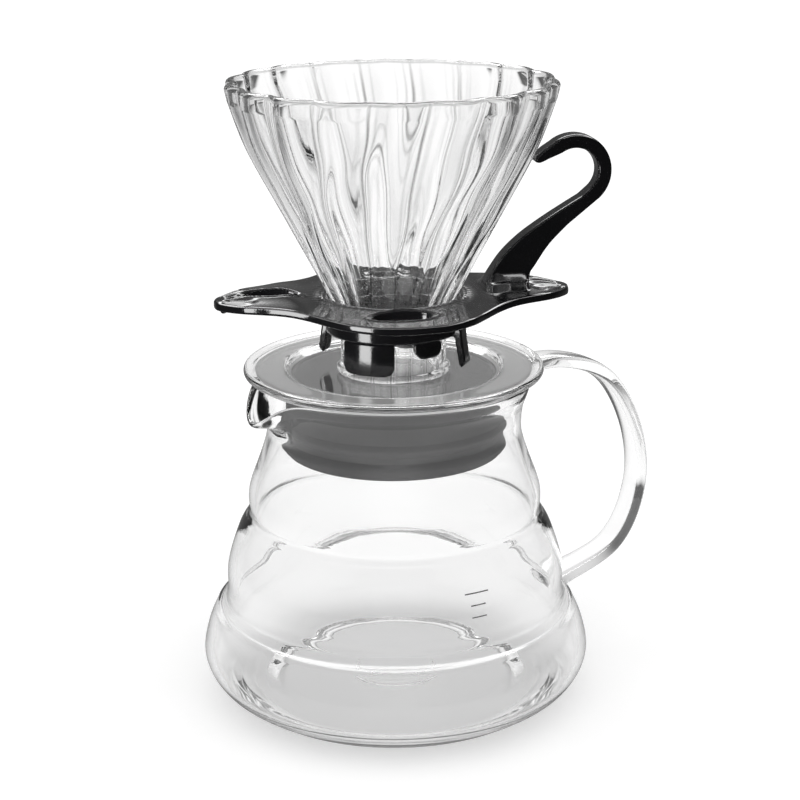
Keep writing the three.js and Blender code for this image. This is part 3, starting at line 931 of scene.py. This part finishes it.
def glass_material(name, wave, passes):
    """Clear glass with the faint waves of hand-made glass.

    Painted shade: its edges are painted darker than its faces, and so are lines down the petals' creases, a
    line round the rim and one side of each petal, where a piece has them.
    Shadow rays and diffuse rays go straight on, and each surface lets the share called passes through.
    """
    material = bpy.data.materials.new(name)
    nodes = Nodes(material)
    facing = nodes.add("LayerWeight", out="Facing", Blend=0.5)
    crease = nodes.add("Attribute", out="Fac", settings={"attribute_name": "crease"})
    painted_petal_shade = nodes.add("Attribute", out="Fac", settings={"attribute_name": "painted_petal_shade"})
    within = nodes.span(nodes.path("Ray Depth"), 1.5, 2.0, 0.0, CLEAREST, smooth=False)
    # painted shade: the grey drops towards the edges, along the painted crease lines and on each petal's
    # painted shaded side
    clarity_and_painted_shade = nodes.math("MAXIMUM", nodes.span(facing, 0.6, 1.0, CLEAREST, 0.55), within)
    clarity_and_painted_shade = nodes.math("MULTIPLY", clarity_and_painted_shade, nodes.span(crease, 0.0, 1.0, 1.0, 0.3, smooth=False))
    clarity_and_painted_shade = nodes.math("MULTIPLY", clarity_and_painted_shade, nodes.span(painted_petal_shade, 0.0, 1.0, 1.0, 0.9, smooth=False))
    glass = nodes.add("BsdfPrincipled",
                      Base_Color=nodes.grey(clarity_and_painted_shade),
                      Roughness=nodes.span(nodes.noise(90), 0.0, 1.0, 0.0, 0.02),
                      Normal=nodes.bump(nodes.noise(28, 1.0), wave),
                      IOR=1.47,
                      Transmission_Weight=1.0)
    clear = nodes.add("BsdfTransparent", Color=(passes, passes, passes, 1))
    unfocused = nodes.math("MAXIMUM", nodes.path("Is Shadow Ray"), nodes.path("Is Diffuse Ray"))
    nodes.put_out(nodes.add("MixShader", Fac=unfocused, i1=glass, i2=clear))
    return material


def unseen_by_deep_rays(nodes, shader):
    return nodes.add("MixShader", Fac=deep(nodes), i1=shader, i2=nodes.add("BsdfTransparent"))


def plastic_material():
    """Black moulding with a fine grain and an uneven gloss."""
    material = bpy.data.materials.new("black_plastic")
    nodes = Nodes(material)
    tint = nodes.blend(nodes.noise(60), (0.002, 0.002, 0.0022, 1), (0.0045, 0.0045, 0.005, 1))
    shader = nodes.add("BsdfPrincipled",
                       Base_Color=tint,
                       Roughness=nodes.span(nodes.noise(140), 0.2, 0.8, 0.07, 0.14),
                       Normal=nodes.bump(nodes.noise(1400, 2.0), 0.00003, 0.3))
    nodes.put_out(unseen_by_deep_rays(nodes, shader))
    return material


def inside_cup(nodes, point):
    """1 on the cup's inner faces, 0 on its skirt."""
    across = nodes.math("SUBTRACT", point.outputs["X"], AXIS_X * MM)
    level = nodes.add("CombineXYZ", X=across, Y=point.outputs["Y"])
    reach = nodes.add("VectorMath", out="Value", settings={"operation": "LENGTH"}, i0=level)
    within = nodes.span(reach, (CAVITY_R + 0.1) * MM, (CAVITY_R + 1.3) * MM, 1.0, 0.0)
    above = nodes.span(point.outputs["Z"], (GASKET_BOTTOM + 0.9) * MM, (GASKET_BOTTOM + 1.2) * MM)
    return nodes.math("MULTIPLY", within, above)


def silicone_material():
    """Grey silicone with painted light: painted lighter in the flange and the bottom, and a little lighter
    inside the cup.
    """
    material = bpy.data.materials.new("grey_silicone")
    nodes = Nodes(material)
    point = nodes.add("SeparateXYZ", out=None, Vector=nodes.add("TexCoord", out="Object"))
    height = point.outputs["Z"]
    flange = nodes.span(height, (MOUTH_Z - 0.5) * MM, MOUTH_Z * MM)
    underside = nodes.span(height, (GASKET_BOTTOM + 0.1) * MM, (GASKET_BOTTOM + 0.4) * MM, 0.9, 0.0)
    within = nodes.math("MULTIPLY", inside_cup(nodes, point), 0.15)
    # painted light: the mask where the grey is painted lighter, over the flange, the bottom and a little
    # inside the cup
    painted_light = nodes.math("MAXIMUM", nodes.math("MAXIMUM", flange, underside), within)
    base = nodes.blend(nodes.noise(70), (0.2, 0.2, 0.202, 1), (0.24, 0.24, 0.241, 1))
    shader = nodes.add("BsdfPrincipled",
                       Base_Color=nodes.blend(painted_light, base, (0.6, 0.6, 0.6, 1)),
                       Specular_IOR_Level=0.25,
                       Roughness=nodes.span(nodes.noise(120), 0.2, 0.8, 0.55, 0.7),
                       Normal=nodes.bump(nodes.noise(900, 2.0), 0.00005, 0.3))
    nodes.put_out(unseen_by_deep_rays(nodes, shader))
    return material


def print_material():
    """Grey screen print, a little worn."""
    material = bpy.data.materials.new("grey_print")
    nodes = Nodes(material)
    worn = nodes.span(nodes.noise(900), 0.3, 0.7, 0.08, 0.2)
    nodes.put_out(nodes.add("BsdfPrincipled", Base_Color=nodes.grey(worn), Roughness=0.6))
    return material


def dress(material, *pieces):
    for piece in pieces:
        piece.data.materials.clear()
        piece.data.materials.append(material)


# ---------------------------------------------------------------- light and camera

CAMERA_AZIMUTH = math.radians(-28)
CAMERA_DISTANCE = 570                    # from the common axis, along the floor
CAMERA_HEIGHT = 273
CAMERA_PITCH = math.radians(17.2)
CAMERA_ROLL = math.radians(-0.42)
SENSOR_WIDTH = 36
FOCAL_LENGTH = 85.77
LENS_SHIFT = 0.007625

STRIP_AZIMUTH = -48
STRIP_DISTANCE = 260
STRIP_HEIGHT = 160
STRIP_SIZE = (100, 260)
STRIP_AIM_Z = 120
STRIP_WATTS = 1.2


def around_set(azimuth, distance, height):
    """A place round the common axis, in metres, at an angle in degrees to the right of the camera's line."""
    a = CAMERA_AZIMUTH - math.pi / 2 + math.radians(azimuth)
    return Vector((AXIS_X + distance * math.cos(a), distance * math.sin(a), height)) * MM


def make_camera():
    data = bpy.data.cameras.new("camera")
    data.sensor_width = SENSOR_WIDTH
    data.lens = FOCAL_LENGTH
    data.clip_end = 50
    data.shift_x = LENS_SHIFT
    aim = Euler((math.pi / 2 - CAMERA_PITCH, 0, CAMERA_AZIMUTH)).to_matrix()
    roll = Matrix.Rotation(CAMERA_ROLL, 3, "Z")
    camera = bpy.data.objects.new("camera", data)
    camera.location = around_set(0, CAMERA_DISTANCE, CAMERA_HEIGHT)
    camera.rotation_euler = (aim @ roll).to_euler()
    bpy.context.scene.collection.objects.link(camera)
    bpy.context.scene.camera = camera


def make_strip_light(pieces):
    """A tall softbox at the left front, for the highlight on the black pieces only."""
    data = bpy.data.lights.new("strip", "AREA")
    data.shape = "RECTANGLE"
    data.size, data.size_y = STRIP_SIZE[0] * MM, STRIP_SIZE[1] * MM
    data.energy = STRIP_WATTS
    light = bpy.data.objects.new("strip", data)
    light.location = around_set(STRIP_AZIMUTH, STRIP_DISTANCE, STRIP_HEIGHT)
    line_of_sight = around_set(0, 0, STRIP_AIM_Z) - light.location
    light.rotation_euler = line_of_sight.to_track_quat("-Z", "Y").to_euler()
    light.visible_transmission = False
    bpy.context.scene.collection.objects.link(light)
    receivers = bpy.data.collections.new("strip")
    for piece in pieces:
        receivers.objects.link(piece)
    light.light_linking.receiver_collection = receivers


def set_up_scene():
    """Plain colours, and bounces enough for the many reflections inside the glass."""
    scene = bpy.context.scene
    scene.view_settings.view_transform = "Standard"
    scene.cycles.max_bounces = 24
    scene.cycles.transmission_bounces = 20
    scene.cycles.glossy_bounces = 16
    scene.cycles.transparent_max_bounces = 20


# ---------------------------------------------------------------- the set

cone = make_cone()
server = make_server()
lid = make_lid_disc()
gasket = make_gasket()
holder = make_holder()
ring = make_lock_ring()
ticks = make_level_ticks()

dress(glass_material("cone_glass", wave=0.00002, passes=0.86), cone)
dress(glass_material("server_glass", wave=0.00004, passes=0.71), server)
dress(glass_material("lid_glass", wave=0.00002, passes=0.9), lid)
dress(silicone_material(), gasket)
dress(plastic_material(), holder, ring)
dress(print_material(), ticks)
for piece in (holder, ring):
    piece.visible_shadow = False
    piece.visible_diffuse = False

make_floor()
make_world()
make_camera()
make_strip_light((holder, ring))
set_up_scene()
